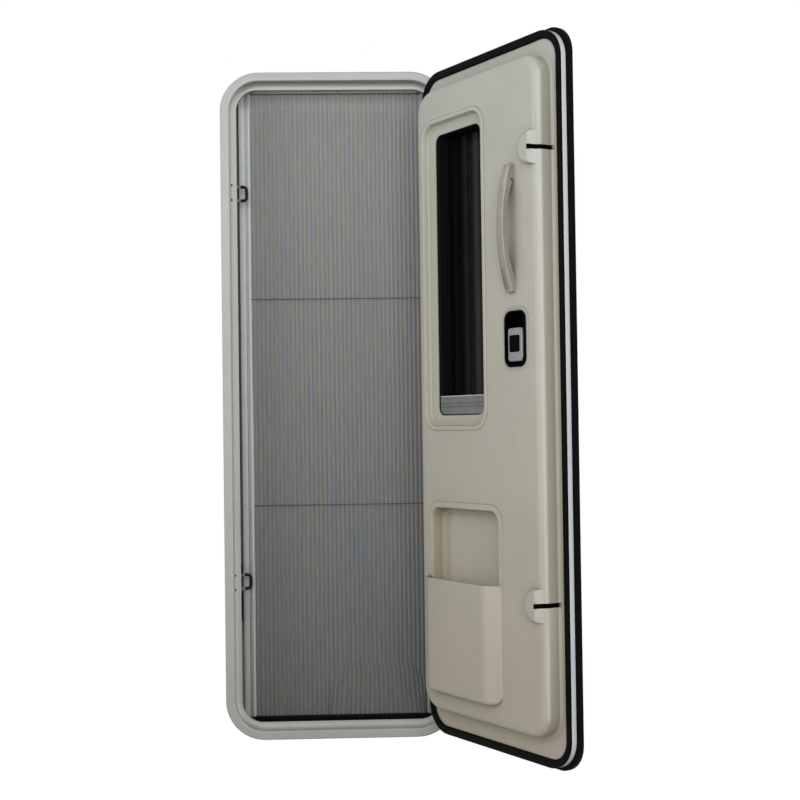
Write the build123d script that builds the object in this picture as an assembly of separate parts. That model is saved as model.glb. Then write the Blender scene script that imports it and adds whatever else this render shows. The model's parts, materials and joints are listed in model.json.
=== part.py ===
from build123d import *
import os

# Caravan entry door, millimetres, Z up, X across, Y from outside to inside
# The leaf is drawn shut, then turned about its hinge to the angle in the photo

# Door frame
FRAME_W = 620
FRAME_H = 1800
FRAME_R = 105
FLANGE_T = 8
FLANGE_W = 24
FLANGE_ROUND = 3.5
WALL_INSET = 20
SHELF_Y = 24
SHELF_T = 4
COVE_R = 12
LIP_INSET = 41
LIP_R = 56
LIP_ROUND = 1
SLEEVE_INSET = 23
FRAME_BACK = 122
ORIGIN_UP = 10

# Insect screen behind the opening
SCREEN_DEEP = 22
SCREEN_SET_IN = 2
TOP_RAIL_TALL = 3
SILL_TOP = 40
SILL_ROUND = 2
LEAD_GAP = 17
LEAD_W = 31
LEAD_TUBE_W = 18.5
LEAD_TUBE_R = 3
LEAD_GROOVE_W = 3
LEAD_STRIP_STEP = 1.5
LEAD_STRIP_R = 1.5
LEAD_WEB = 18
RECEIVER_STEP = 9
RECEIVER_GROOVE_W = 6
RECEIVER_GROOVE_DEEP = 3
CASSETTE_W = 49
CASSETTE_R = 4
PLEAT_STEP = 6.05
PLEAT_DEEP = 10
PLEAT_SET_IN = 5
CLOTH_T = 0.8
CORD_R = 1.1
CORD_TOP_INSET = 33
CORD_STEP = 573

# Striker loops on the lock jamb
LATCH_LOW = 416
LATCH_TOP_INSET = 317
STRIKER_Y = 68
STRIKER_R = 4.2
STRIKER_REACH = 40.5
STRIKER_TALL = 38
STRIKER_BEND = 10
STRIKER_PLATE_T = 3
STRIKER_PLATE_TALL = 66
STRIKER_PLATE_DEEP = 22
STRIKER_PLATE_R = 6

# Hinges
AXIS_INSET = 37
AXIS_Y = -33
OPEN_DEG = 122.1
HINGE_END = 255
KNUCKLE_R = 6
KNUCKLE_TALL = 70
LEAF_KNUCKLE = 32
KNUCKLE_GAP = 1
PIN_R = 3
PIN_ROOM = 0.08
ARM_INSET = 20
ARM_W = 18
ARM_T = 6
ARM_ROUND = 2
LEAF_WING = 58
LEAF_WING_R = 8
WING_PROUD = 1

# Door leaf, shut, with depths measured from its inner flange plane
LEAF_INSET = 30
LEAF_PLANE = 4
EDGE_DEEP = 17
EDGE_W = 12
RIM_SIDE_INSET = 18
RIM_END_INSET = 25
RIM_HINGE_INSET = 27
RIM_R = 70
RIM_T = 13
CORE_INSET = 38
SKIN_T = 3
SEAL_W = 22
SEAL_LOCK_W = 14
SEAL_R = 54
SEAL_TALL = 5
SEAL_FOOT = 1
SEAL_LIP_W = 4
SEAL_LIP_DEEP = 3

# Moulded inner panel
PANEL_INSET = 60
PANEL_BOTTOM = 102
PANEL_TOP_INSET = 88
PANEL_R = 62
PANEL_TALL = 48
PANEL_DRAFT = 4
SHOULDER_R = 20
FOOT_R = 8

# Window
RECESS_W = 248
RECESS_SIDE = 38
RECESS_BOTTOM = 834
RECESS_TOP_GAP = 94
RECESS_R = 40
RECESS_FLOOR = 35
RECESS_DRAFT = 15
RECESS_FLOOR_R = 5
RECESS_MOUTH_R = 2
BEAD_W = 10
BEAD_T = 2.5
BEAD_FLAT = 0.5
GLASS_SIDE = 37
GLASS_BELOW = 28
GLASS_ABOVE = 30
GLASS_R = 22
GASKET_W = 2.5
GASKET_SET_IN = 2
PANE_T = 4
PANE_GAP = 4
OUTER_FRAME_W = 26
OUTER_FRAME_T = 3
OUTER_FRAME_ROUND = 1.5
BLIND_LOW_TALL = 18
BLIND_MID_TALL = 7
BLIND_HIGH_TALL = 14
BLIND_CAP_TALL = 3
BLIND_GROOVE = 2
BLIND_T = 12
BLIND_STEP = 2
BLIND_SET_IN = 2
BLIND_ROUND = 1

# Storage recess and its bin
STORE_HINGE_INSET = 115
STORE_LOCK_INSET = 227.5
STORE_BOTTOM = 165
STORE_H = 462
STORE_R = 30
STORE_FLOOR = 10
STORE_DRAFT = 6
STORE_FLOOR_R = 12
STORE_MOUTH_R = 1
STORE_BEAD_W = 15
STORE_BEAD_T = 1.5
BIN_DROP = 6
BIN_H = 288
BIN_W = 310
BIN_SHIFT = 9
BIN_CORNER_R = 28
BIN_RISE = 28
BIN_SLOPE = 33
BIN_WALL = 3.5
BIN_BEND = 40
BIN_EDGE = 12
BIN_FLOOR = 9.5

# Latch bulges and their slots
BULGE_TALL = 86
BULGE_LEFT_INSET = 125
BULGE_FLAT_INSET = 77
BULGE_SIDE_INSET = 62
BULGE_SIDE_TALL = 24
BULGE_RISE = 17
BULGE_ROUND = 10
BULGE_BEND = 4
BULGE_DRAFT = 5
SLOT_TALL = 11
SLOT_DEEP = 11
SLOT_FILL = 9.5

# Inner release lock
LOCK_INSET = 150.5
LOCK_BOTTOM = 973
LOCK_H = 134
LOCK_W = 78
LOCK_R = 22
LOCK_T = 4
LOCK_ROUND = 2
LOCK_BEAD_GAP = 5
LOCK_BEAD_W = 4
LOCK_BEAD_T = 1.2
CUP_WALL = 2.5
CUP_FLOOR = 20
PADDLE_W = 53
PADDLE_UP = 13
PADDLE_H = 80
PADDLE_T = 8
PADDLE_BASE = 43
PADDLE_R = 9
PADDLE_ROUND = 3
PADDLE_PIN_R = 2.5
PADDLE_PIN_UP = 7
PADDLE_PIN_END = 1
BUTTON_W = 36
BUTTON_H = 40
BUTTON_R = 4
BUTTON_UP = 2.5
BUTTON_T = 2.5
BUTTON_ROUND = 1

# Grab handle, a crescent on the panel
GRAB_INSET = 160.5
GRAB_GAP = 44.5
GRAB_LEN = 304.5
GRAB_RISE = 37
GRAB_W = 24
GRAB_T = 12
GRAB_END = 10.5
GRAB_FOOT = 36
GRAB_ROUND = 1.5

# Outer handle, plain
GRIP_INSET = 105
GRIP_DROP = 10
GRIP_PLATE_W = 62
GRIP_PLATE_H = 170
GRIP_PLATE_R = 20
GRIP_PLATE_T = 6
GRIP_ROUND = 2
GRIP_LEN = 140
GRIP_RISE = 46
GRIP_W = 20
GRIP_T = 13
GRIP_END = 6
GRIP_FOOT = 24
GRIP_SHIFT = 12
KEY_R = 7
KEY_T = 5
KEY_SHIFT = 17

FIND = 0.01

os.makedirs("parts", exist_ok=True)
HALF_W = FRAME_W / 2
MIDDLE_Z = FRAME_H / 2
AXIS_X = HALF_W - AXIS_INSET
LEAF_EDGE_Y = LEAF_PLANE - EDGE_DEEP
LEAF_OUT = LEAF_EDGE_Y - RIM_T
FACE = LEAF_PLANE + PANEL_TALL
SCREEN_BACK = FRAME_BACK - SCREEN_SET_IN
SCREEN_FRONT = SCREEN_BACK - SCREEN_DEEP
RAIL_TOP_Z = FRAME_H - SLEEVE_INSET - TOP_RAIL_TALL
LATCH_HEIGHTS = {"upper": FRAME_H - LATCH_TOP_INSET, "lower": LATCH_LOW}
HINGE_HEIGHTS = {"upper": FRAME_H - HINGE_END, "middle": MIDDLE_Z, "lower": HINGE_END}
STORE_W = FRAME_W - STORE_HINGE_INSET - STORE_LOCK_INSET
STORE_X = HALF_W - STORE_HINGE_INSET - STORE_W / 2
BIN_X = STORE_X + BIN_SHIFT
LOCK_X = LOCK_INSET - HALF_W
LOCK_TOP = LOCK_BOTTOM + LOCK_H
BULGE_SIDE = BULGE_SIDE_INSET - HALF_W
BULGE_FLAT = BULGE_FLAT_INSET - HALF_W
BULGE_TOP = FACE + BULGE_RISE


def outline(inset, radius=None):
    if radius is None:
        radius = FRAME_R - inset
    return Pos(0, MIDDLE_Z) * RectangleRounded(FRAME_W - 2 * inset, FRAME_H - 2 * inset, radius)


def ring(outer, inner):
    return outline(outer) - outline(inner)


def plate(x, low, high, width, radius):
    return Pos(x, (low + high) / 2) * RectangleRounded(width, high - low, radius)


def slab(profile, front, back):
    return extrude(Plane.XZ.offset(-back) * profile, amount=back - front)


def block(x0, x1, y0, y1, z0, z1):
    middle = Pos((x0 + x1) / 2, (y0 + y1) / 2, (z0 + z1) / 2)
    return middle * Box(abs(x1 - x0), abs(y1 - y0), abs(z1 - z0))


def pocket(x, low, high, width, radius, mouth, floor, draft, floor_round):
    # A pocket that narrows from its mouth down to a floor with rounded corners
    profile = plate(x, low, high, width, radius)
    hollow = extrude(Plane.XZ.offset(-mouth) * profile, amount=mouth - floor, taper=draft)
    return fillet(hollow.edges().group_by(Axis.Y)[0], floor_round)


def raised(profile, foot, top, draft):
    # A block that narrows from its foot up to its top
    seat = Plane(origin=(0, foot, 0), x_dir=(1, 0, 0), z_dir=(0, 1, 0))
    return extrude(seat * mirror(profile, Plane.XZ), amount=top - foot, taper=draft)


def top_edges(shape):
    return shape.edges().group_by(Axis.Y)[-1]


def edges_at(shape, y, x0, x1, z0, z1):
    # Edges in one plane of depth that lie within a window of that plane
    found = ShapeList()
    for edge in shape.edges():
        box = edge.bounding_box()
        level = abs(box.min.Y - y) < FIND and abs(box.max.Y - y) < FIND
        across = box.min.X > x0 - FIND and box.max.X < x1 + FIND
        if level and across and box.min.Z > z0 - FIND and box.max.Z < z1 + FIND:
            found.append(edge)
    return found


def ring_edges(shape, y, inset):
    # Edges in one plane of depth that run at one inset from the frame's outline
    found = ShapeList()
    for edge in edges_at(shape, y, -HALF_W, HALF_W, 0, FRAME_H):
        box = edge.bounding_box()
        side = HALF_W - max(abs(box.min.X), abs(box.max.X))
        end = min(box.min.Z, FRAME_H - box.max.Z)
        if abs(min(side, end) - inset) < FIND:
            found.append(edge)
    return found


def crescent(x, low, high, base, rise, width, thick, end, foot, round_r):
    # A bowed bar drawn from the side, with blunt ends, a flat foot at each end and rounded long edges
    side = 1 if rise > 0 else -1
    middle = (low + high) / 2
    blunt = base + side * end
    hollow = base + rise - side * thick
    outer = ThreePointArc((blunt, low), (base + rise, middle), (blunt, high))
    upper_foot = Polyline((blunt, high), (base, high), (base, high - foot))
    inner = ThreePointArc((base, high - foot), (hollow, middle), (base, low + foot))
    lower_foot = Polyline((base, low + foot), (base, low), (blunt, low))
    bar = make_face([outer, upper_foot, inner, lower_foot])
    bar = extrude(Plane.YZ.offset(x - width / 2) * bar, amount=width)
    return fillet(bar.edges().filter_by(GeomType.CIRCLE), round_r)


def around_lock(grow):
    return plate(LOCK_X, LOCK_BOTTOM - grow, LOCK_TOP + grow, LOCK_W + 2 * grow, LOCK_R + grow)


def bin_form(shrink, low, high):
    # The bin seen from above: two slopes and a flat front with soft bends
    foot = BIN_W / 2 - shrink
    front = BIN_W / 2 - BIN_SLOPE - shrink
    deep = BIN_RISE - shrink
    section = make_face(Polyline((-foot, 0), (-front, deep), (front, deep), (foot, 0), close=True))
    section = fillet(section.vertices().group_by(Axis.Y)[-1], BIN_BEND - shrink)
    return extrude(Pos(BIN_X, FACE, low) * section, amount=high - low)


def bin_front(shrink, low, high):
    # The bin seen from the front: straight top, rounded lower corners
    radius = BIN_CORNER_R - shrink
    front = plate(BIN_X, low, high + radius, BIN_W - 2 * shrink, radius)
    return slab(front, FACE, FACE + BIN_RISE)


def bulge_section(shrink, low, high):
    # A latch bulge seen from above: side wall, steep bevel and flat top, set in by one distance
    wall = ((HALF_W, -HALF_W), (BULGE_SIDE, -HALF_W), (BULGE_SIDE, LEAF_PLANE + BULGE_SIDE_TALL))
    section = make_face(Polyline(*wall, (BULGE_FLAT, BULGE_TOP), (HALF_W, BULGE_TOP), close=True))
    if shrink > 0:
        section = offset(section, amount=-shrink, kind=Kind.INTERSECTION)
    else:
        bends = section.vertices().sort_by(Axis.X)[:3].sort_by(Axis.Y)[1:]
        section = fillet(bends, BULGE_BEND)
    return extrude(Pos(0, 0, low) * section, amount=high - low)


def save(node, shape):
    export_step(Pos(0, 0, -ORIGIN_UP) * shape, "parts/" + node + ".step")


def save_leaf(node, shape):
    hinge = Pos(AXIS_X, AXIS_Y, 0)
    turned = hinge * Rot(0, 0, OPEN_DEG) * hinge.inverse() * shape
    save(node, turned)


# Door frame: flange, step and shelf in one piece, and the sleeve through the vehicle's wall
frame = slab(ring(0, FLANGE_W), -FLANGE_T, 0)
frame = frame + slab(ring(WALL_INSET, FLANGE_W), -FLANGE_T, SHELF_Y)
frame = fillet(frame.edges().group_by(Axis.Y)[0], FLANGE_ROUND)
frame = frame + slab(outline(WALL_INSET) - outline(LIP_INSET, LIP_R), SHELF_Y, SHELF_Y + SHELF_T)
frame = fillet(ring_edges(frame, SHELF_Y, FLANGE_W), COVE_R)
frame = fillet(ring_edges(frame, SHELF_Y, LIP_INSET), LIP_ROUND)
save("door_frame", frame)
save("frame_sleeve", slab(ring(WALL_INSET, SLEEVE_INSET), SHELF_Y + SHELF_T, FRAME_BACK))

# Screen rails, cut to the rounded inside of the sleeve
jamb = SLEEVE_INSET - HALF_W
lead_left = jamb + LEAD_GAP
lead_right = lead_left + LEAD_W
cassette_left = -jamb - CASSETTE_W
inside = slab(outline(SLEEVE_INSET), SCREEN_FRONT, SCREEN_BACK)
save("screen_top_rail", inside & block(-HALF_W, HALF_W, 0, FRAME_BACK, RAIL_TOP_Z, FRAME_H))
sill = block(-HALF_W, HALF_W, SCREEN_FRONT, SCREEN_BACK, 0, SILL_TOP)
sill = fillet(sill.edges().filter_by(Axis.X).group_by(Axis.Y)[0].sort_by(Axis.Z)[-1], SILL_ROUND)
save("screen_bottom_rail", inside & sill)
tube = block(lead_left, lead_left + LEAD_TUBE_W, SCREEN_FRONT, SCREEN_BACK, SILL_TOP, RAIL_TOP_Z)
tube = fillet(tube.edges().filter_by(Axis.Z).group_by(Axis.Y)[0], LEAD_TUBE_R)
strip_left = lead_left + LEAD_TUBE_W + LEAD_GROOVE_W
strip = block(strip_left, lead_right, SCREEN_FRONT + LEAD_STRIP_STEP, SCREEN_BACK, SILL_TOP, RAIL_TOP_Z)
strip = fillet(strip.edges().filter_by(Axis.Z).group_by(Axis.Y)[0], LEAD_STRIP_R)
web = block(lead_left, lead_right, SCREEN_BACK - LEAD_WEB, SCREEN_BACK, SILL_TOP, RAIL_TOP_Z)
save("screen_lead_bar", inside & (tube + strip + web))
receiver = block(jamb, lead_left, SCREEN_FRONT + RECEIVER_STEP, SCREEN_BACK, SILL_TOP, RAIL_TOP_Z)
groove_x = (jamb + lead_left) / 2
groove_floor = SCREEN_FRONT + RECEIVER_STEP + RECEIVER_GROOVE_DEEP
groove_half = RECEIVER_GROOVE_W / 2
groove = block(groove_x - groove_half, groove_x + groove_half, SCREEN_FRONT, groove_floor, 0, FRAME_H)
save("screen_receiver", inside & (receiver - groove))
cassette = block(cassette_left, -jamb, SCREEN_FRONT, SCREEN_BACK, SILL_TOP, RAIL_TOP_Z)
cassette = fillet(cassette.edges().filter_by(Axis.Z).sort_by(Axis.X)[0:2].sort_by(Axis.Y)[0], CASSETTE_R)
save("screen_cassette", inside & cassette)

# Pleated cloth, one folded strip as tall as the space between the rails
folds = round((cassette_left - lead_right) / PLEAT_STEP)
step = (cassette_left - lead_right) / folds
pleat_front = SCREEN_FRONT + PLEAT_SET_IN
front_line = []
back_line = []
for i in range(folds + 1):
    x = lead_right + i * step
    y = pleat_front if i % 2 else pleat_front + PLEAT_DEEP
    front_line.append((x, y - CLOTH_T / 2))
    back_line.append((x, y + CLOTH_T / 2))
cloth = make_face(Polyline(*front_line, *reversed(back_line), close=True))
cloth = extrude(Pos(0, 0, SILL_TOP) * cloth, amount=RAIL_TOP_Z - SILL_TOP)
save("pleated_screen", inside & cloth)

# Taut guide cords in front of the folds
cord_y = pleat_front - CLOTH_T - CORD_R
for i, name in enumerate(("top", "upper", "lower")):
    z = FRAME_H - CORD_TOP_INSET - i * CORD_STEP
    start = Plane(origin=(lead_right, cord_y, z), z_dir=(1, 0, 0))
    save("screen_cord_" + name, extrude(start * Circle(CORD_R), amount=cassette_left - lead_right))

# Striker loops on the lock jamb
for name, z in LATCH_HEIGHTS.items():
    up = z + STRIKER_TALL / 2
    down = z - STRIKER_TALL / 2
    reach = jamb + STRIKER_REACH
    path = FilletPolyline((jamb, up), (reach, up), (reach, down), (jamb, down), radius=STRIKER_BEND)
    path = Plane.XZ.offset(-STRIKER_Y) * path
    loop = sweep(Plane(origin=path @ 0, z_dir=path % 0) * Circle(STRIKER_R), path=path)
    foot_plane = Plane(origin=(jamb, STRIKER_Y, z), x_dir=(0, 1, 0), z_dir=(1, 0, 0))
    foot = RectangleRounded(STRIKER_PLATE_DEEP, STRIKER_PLATE_TALL, STRIKER_PLATE_R)
    save("striker_" + name, extrude(foot_plane * foot, amount=STRIKER_PLATE_T) + loop)

# Hinges: frame wing with its pin, and leaf wing
arm_left = HALF_W - ARM_INSET
for name, z in HINGE_HEIGHTS.items():
    post = Pos(AXIS_X, AXIS_Y, z)
    half = KNUCKLE_TALL / 2
    wing = block(arm_left, arm_left + ARM_W, -FLANGE_T - ARM_T, -FLANGE_T, z - half, z + half)
    wing = wing + block(arm_left, arm_left + ARM_T, AXIS_Y - KNUCKLE_R, -FLANGE_T, z - half, z + half)
    wing = wing + block(AXIS_X, arm_left + ARM_T, AXIS_Y - KNUCKLE_R, AXIS_Y, z - half, z + half)
    outer_corner = wing.edges().filter_by(Axis.Z).sort_by(Axis.Y)[:2].sort_by(Axis.X)[-1]
    wing = fillet(outer_corner, ARM_ROUND) + post * Cylinder(KNUCKLE_R, KNUCKLE_TALL)
    gap = LEAF_KNUCKLE / 2 + KNUCKLE_GAP
    near = AXIS_Y - 2 * KNUCKLE_R
    far = AXIS_Y + 2 * KNUCKLE_R
    notch = block(AXIS_X - 2 * KNUCKLE_R, arm_left - PIN_ROOM, near, far, z - gap, z + gap)
    save("hinge_frame_" + name, wing - notch + post * Cylinder(PIN_R, KNUCKLE_TALL))
    half = LEAF_KNUCKLE / 2
    wing_left = AXIS_X - LEAF_WING
    bridge = block(wing_left, AXIS_X, AXIS_Y - WING_PROUD, LEAF_OUT, z - half, z + half)
    bridge = fillet(bridge.edges().filter_by(Axis.Y).group_by(Axis.X)[0], LEAF_WING_R)
    bore = post * Cylinder(PIN_R + PIN_ROOM, LEAF_KNUCKLE)
    save_leaf("hinge_leaf_" + name, post * Cylinder(KNUCKLE_R, LEAF_KNUCKLE) + bridge - bore)

# Leaf edge, rim and seals
edge = slab(ring(LEAF_INSET, LEAF_INSET + EDGE_W), LEAF_EDGE_Y, LEAF_PLANE)
seal_lip = slab(ring(LEAF_INSET, LEAF_INSET + SEAL_LIP_W), LEAF_PLANE - SEAL_LIP_DEEP, LEAF_PLANE)
save_leaf("edge_profile", edge - seal_lip)
inside_rim = outline(CORE_INSET)
rim = plate(0, RIM_END_INSET, FRAME_H - RIM_END_INSET, FRAME_W - 2 * RIM_SIDE_INSET, RIM_R)
rim = slab(rim - inside_rim, LEAF_OUT, LEAF_EDGE_Y)
rim = fillet(rim.edges().group_by(Axis.Y)[0], FLANGE_ROUND)
rim_trim = block(HALF_W - RIM_HINGE_INSET, FRAME_W, LEAF_OUT - RIM_T, LEAF_PLANE, 0, FRAME_H)
save_leaf("outer_rim_seal", rim - rim_trim)
seal_end = LEAF_INSET + SEAL_W
seal_x = (SEAL_LOCK_W - SEAL_W) / 2
seal_w = FRAME_W - 2 * LEAF_INSET - SEAL_W - SEAL_LOCK_W
seal = outline(LEAF_INSET) - plate(seal_x, seal_end, FRAME_H - seal_end, seal_w, SEAL_R)
seal = slab(seal, LEAF_PLANE, LEAF_PLANE + SEAL_TALL)
save_leaf("inner_seal", fillet(top_edges(seal), SEAL_TALL - SEAL_FOOT) + seal_lip)

# Window place in the leaf, and the outer skin and foam core around it
panel_right = HALF_W - PANEL_INSET
panel_top = FRAME_H - PANEL_TOP_INSET
recess_top = panel_top - RECESS_TOP_GAP
window_x = panel_right - RECESS_SIDE - RECESS_W / 2
glass_bottom = RECESS_BOTTOM + GLASS_BELOW
glass_top = recess_top - GLASS_ABOVE
glass_w = RECESS_W - 2 * GLASS_SIDE
glass = plate(window_x, glass_bottom, glass_top, glass_w, GLASS_R)
save_leaf("outer_skin", slab(inside_rim - glass, LEAF_OUT, LEAF_OUT + SKIN_T))
save_leaf("leaf_core", slab(inside_rim - glass, LEAF_OUT + SKIN_T, LEAF_EDGE_Y))

# Moulded inner panel: flat border and plateau with a wide shoulder
plateau = plate(0, PANEL_BOTTOM, panel_top, 2 * panel_right, PANEL_R)
panel = fillet(top_edges(raised(plateau, LEAF_PLANE, FACE, PANEL_DRAFT)), SHOULDER_R)
panel = panel + slab(outline(LEAF_INSET + EDGE_W), LEAF_EDGE_Y, LEAF_PLANE)
panel_foot = edges_at(panel, LEAF_PLANE, -panel_right, panel_right, PANEL_BOTTOM, panel_top)
panel = fillet(panel_foot, FOOT_R)

# Raised beads round the window, the storage recess and the lock
store_top = STORE_BOTTOM + STORE_H
bin_bottom = STORE_BOTTOM - BIN_DROP
bin_top = bin_bottom + BIN_H
land_w = RECESS_W + 2 * BEAD_W
window_land = plate(window_x, RECESS_BOTTOM - BEAD_W, recess_top + BEAD_W, land_w, RECESS_R + BEAD_W)
panel = panel + fillet(top_edges(slab(window_land, FACE - BEAD_T, FACE + BEAD_T)), BEAD_T - BEAD_FLAT)
store_land_w = STORE_W + 2 * STORE_BEAD_W
store_land = plate(STORE_X, STORE_BOTTOM, store_top + STORE_BEAD_W, store_land_w, STORE_R + STORE_BEAD_W)
store_land = slab(store_land, FACE - STORE_BEAD_T, FACE + STORE_BEAD_T)
store_land = fillet(top_edges(store_land), STORE_BEAD_T - BEAD_FLAT)
panel = panel + (store_land - block(-HALF_W, HALF_W, 0, FRAME_BACK, 0, bin_top))
lock_bead = around_lock(LOCK_BEAD_GAP + LOCK_BEAD_W) - around_lock(LOCK_BEAD_GAP)
lock_bead = slab(lock_bead, FACE - LOCK_BEAD_T, FACE + LOCK_BEAD_T)
panel = panel + fillet(top_edges(lock_bead), LOCK_BEAD_T - BEAD_FLAT)

# Latch bulges that wrap round the shoulder, each with a slot
bulge_end = BULGE_LEFT_INSET - HALF_W - BULGE_TALL / 2
slots = {}
for name, z in LATCH_HEIGHTS.items():
    tab = Pos((bulge_end - HALF_W) / 2, z) * Rectangle(bulge_end + HALF_W, BULGE_TALL)
    tab = tab + Pos(bulge_end, z) * Circle(BULGE_TALL / 2)
    bulge = raised(tab, LEAF_PLANE, BULGE_TOP, BULGE_DRAFT)
    bulge = fillet(top_edges(bulge), BULGE_ROUND)
    panel = panel + (bulge & bulge_section(0, z - BULGE_TALL, z + BULGE_TALL))
    low = z - SLOT_TALL / 2
    high = z + SLOT_TALL / 2
    slot = block(BULGE_FLAT, -HALF_W, LEAF_PLANE, BULGE_TOP + SLOT_DEEP, low, high)
    slots[name] = slot - bulge_section(SLOT_DEEP, low, high)
    panel = panel - slots[name]

# Window recess, storage recess and lock pocket sunk into the panel
floor = LEAF_PLANE + RECESS_FLOOR
land = FACE + BEAD_T
panel = panel - pocket(window_x, RECESS_BOTTOM, recess_top, RECESS_W, RECESS_R, land, floor, RECESS_DRAFT,
                       RECESS_FLOOR_R)
recess_left = window_x - RECESS_W / 2
mouth = edges_at(panel, land, recess_left, recess_left + RECESS_W, RECESS_BOTTOM, recess_top)
panel = fillet(mouth, RECESS_MOUTH_R)
panel = panel - slab(glass, LEAF_EDGE_Y, FACE)
land = FACE + STORE_BEAD_T
panel = panel - pocket(STORE_X, STORE_BOTTOM, store_top, STORE_W, STORE_R, land, LEAF_PLANE + STORE_FLOOR,
                       STORE_DRAFT, STORE_FLOOR_R)
store_left = STORE_X - STORE_W / 2
mouth = edges_at(panel, land, store_left, store_left + STORE_W, bin_top, store_top)
panel = fillet(mouth, STORE_MOUTH_R)
panel = panel - slab(around_lock(-CUP_WALL), LEAF_PLANE + CUP_FLOOR, FACE)
save_leaf("inner_liner", panel)

# Latch hooks, shown only as the dark fill of the slots
for name, slot in slots.items():
    save_leaf("latch_hook_" + name, slot & bulge_section(SLOT_DEEP - SLOT_FILL, 0, FRAME_H))

# Storage bin in front of the lower half of the recess, drawn from above and raised
shell = bin_form(0, bin_bottom, bin_top)
shell = fillet(shell.faces().sort_by(Axis.Z)[0].edges().sort_by(Axis.Y)[1:], BIN_EDGE)
shell = shell & bin_front(0, bin_bottom, bin_top)
bin_floor = bin_bottom + BIN_FLOOR
hollow = bin_form(BIN_WALL, bin_floor, bin_top) & bin_front(BIN_WALL, bin_floor, bin_top)
save_leaf("storage_bin", shell - hollow)

# Window: gasket, panes, outside frame and blind rail
gasket_w = glass_w - 2 * GASKET_W
gasket_hole = plate(window_x, glass_bottom + GASKET_W, glass_top - GASKET_W, gasket_w, GLASS_R - GASKET_W)
gasket_front = floor - GASKET_SET_IN
pane_back = LEAF_OUT + PANE_T + PANE_GAP
pane_front = pane_back + PANE_T
save_leaf("window_gasket", slab(glass - gasket_hole, pane_front, gasket_front))
save_leaf("inner_pane", slab(glass, pane_back, pane_front))
save_leaf("outer_pane", slab(glass, LEAF_OUT, LEAF_OUT + PANE_T))
lap = OUTER_FRAME_W / 2
cover = plate(window_x, glass_bottom - lap, glass_top + lap, glass_w + OUTER_FRAME_W, GLASS_R + lap)
window_frame = slab(cover - gasket_hole, LEAF_OUT - OUTER_FRAME_T, LEAF_OUT)
save_leaf("window_frame", fillet(window_frame.edges().group_by(Axis.Y)[0], OUTER_FRAME_ROUND))
rail_side = (window_x - glass_w / 2, window_x + glass_w / 2)
rail_front = gasket_front - BLIND_SET_IN
rail_back = rail_front - BLIND_T
low = glass_bottom + GASKET_W
blind = None
for tall in (BLIND_LOW_TALL, BLIND_MID_TALL, BLIND_HIGH_TALL, BLIND_CAP_TALL):
    band = block(*rail_side, rail_back, rail_front, low, low + tall)
    band = fillet(top_edges(band).filter_by(Axis.X), BLIND_ROUND)
    if blind is None:
        blind = band
    else:
        blind = blind + band + block(*rail_side, rail_back, rail_front - BLIND_STEP, low - BLIND_GROOVE, low)
    low = low + tall + BLIND_GROOVE
save_leaf("blind_rail", blind & slab(gasket_hole, rail_back, rail_front))

# Grab handle
grab_x = GRAB_INSET - HALF_W
grab_low = LOCK_TOP + GRAB_GAP
save_leaf("grab_handle", crescent(grab_x, grab_low, grab_low + GRAB_LEN, FACE, GRAB_RISE, GRAB_W, GRAB_T,
                                  GRAB_END, GRAB_FOOT, GRAB_ROUND))

# Inner release lock: black cup, silver paddle on a cross pin, black button
face_plate = slab(around_lock(0), FACE, FACE + LOCK_T)
cup = fillet(top_edges(face_plate), LOCK_ROUND) + slab(around_lock(-CUP_WALL), LEAF_PLANE + CUP_FLOOR, FACE)
cup = cup - slab(around_lock(-2 * CUP_WALL), LEAF_PLANE + CUP_FLOOR + CUP_WALL, FACE + LOCK_T)
paddle_low = LOCK_BOTTOM + PADDLE_UP
paddle_high = paddle_low + PADDLE_H
paddle_back = LEAF_PLANE + PADDLE_BASE
paddle_front = paddle_back + PADDLE_T
pin_length = LOCK_W - 2 * CUP_WALL - 2 * PADDLE_PIN_END
pin_start = (LOCK_X - pin_length / 2, paddle_back + PADDLE_T / 2, paddle_low + PADDLE_PIN_UP)
pin_plane = Plane(origin=pin_start, z_dir=(1, 0, 0))
save_leaf("lock_escutcheon", cup + extrude(pin_plane * Circle(PADDLE_PIN_R), amount=pin_length))
paddle = slab(plate(LOCK_X, paddle_low, paddle_high, PADDLE_W, PADDLE_R), paddle_back, paddle_front)
paddle = fillet(top_edges(paddle), PADDLE_ROUND)
save_leaf("release_paddle", paddle - extrude(pin_plane * Circle(PADDLE_PIN_R + PIN_ROOM), amount=pin_length))
button_z = (paddle_low + paddle_high) / 2 + BUTTON_UP
button = plate(LOCK_X, button_z - BUTTON_H / 2, button_z + BUTTON_H / 2, BUTTON_W, BUTTON_R)
button = slab(button, paddle_front, paddle_front + BUTTON_T)
save_leaf("lock_button", fillet(top_edges(button), BUTTON_ROUND))

# Outer handle, plain: base plate, bowed bar and key barrel
grip_x = GRIP_INSET - HALF_W
grip_z = (LOCK_BOTTOM + LOCK_TOP) / 2 - GRIP_DROP
plate_low = grip_z - GRIP_PLATE_H / 2
grip_plate = plate(grip_x, plate_low, plate_low + GRIP_PLATE_H, GRIP_PLATE_W, GRIP_PLATE_R)
grip_plate = slab(grip_plate, LEAF_OUT - GRIP_PLATE_T, LEAF_OUT)
grip_plate = fillet(grip_plate.edges().group_by(Axis.Y)[0], GRIP_ROUND)
grip_low = grip_z - GRIP_LEN / 2
grip_seat = LEAF_OUT - GRIP_PLATE_T
grip = crescent(grip_x - GRIP_SHIFT, grip_low, grip_low + GRIP_LEN, grip_seat, -GRIP_RISE, GRIP_W, GRIP_T,
                GRIP_END, GRIP_FOOT, GRIP_ROUND)
save_leaf("outer_handle", grip_plate + grip)
key = Pos(grip_x + KEY_SHIFT, grip_z) * Circle(KEY_R)
save_leaf("key_barrel", slab(key, grip_seat - KEY_T, grip_seat))
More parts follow.
